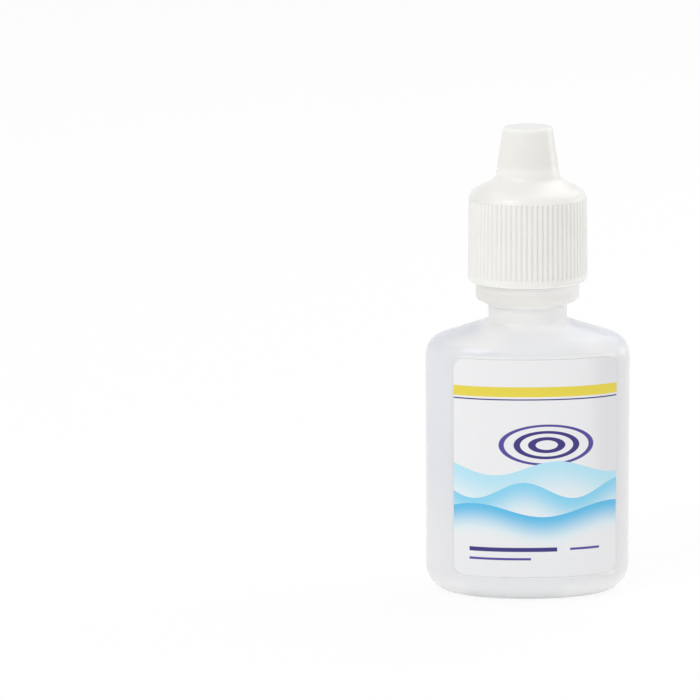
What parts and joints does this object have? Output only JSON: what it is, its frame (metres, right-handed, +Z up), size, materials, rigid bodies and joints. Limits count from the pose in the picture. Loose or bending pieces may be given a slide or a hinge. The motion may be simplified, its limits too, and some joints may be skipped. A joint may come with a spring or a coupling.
{
  "type": "eye drop bottle",
  "caption": "Oval squeeze bottle with a press-in dropper tip, a front label, and a ribbed screw cap with a hollow nose that lifts off.",
  "frame": {"origin": "middle of the base, on the surface that the bottle stands on", "axes": "+Z up along the neck, the front with its label faces -Y, the width lies along X"},
  "size_m": [0.0344, 0.02, 0.0791],
  "materials": {
    "milky_polyethylene": "satin, slightly cloudy",
    "natural_polyethylene": "satin",
    "white_polypropylene": "satin",
    "label_film": "smooth printed film"
  },
  "bodies": {
    "bottle": {"bottle_body": "milky_polyethylene", "dropper_tip": "natural_polyethylene", "front_label": "label_film"},
    "cap": {"screw_cap": "white_polypropylene"}
  },
  "joints": [
    {"name": "cap_lift", "type": "slide", "parent": "bottle", "child": "cap", "axis": [0, 0, 1], "range_m": [0, 0.03]}
  ]
}
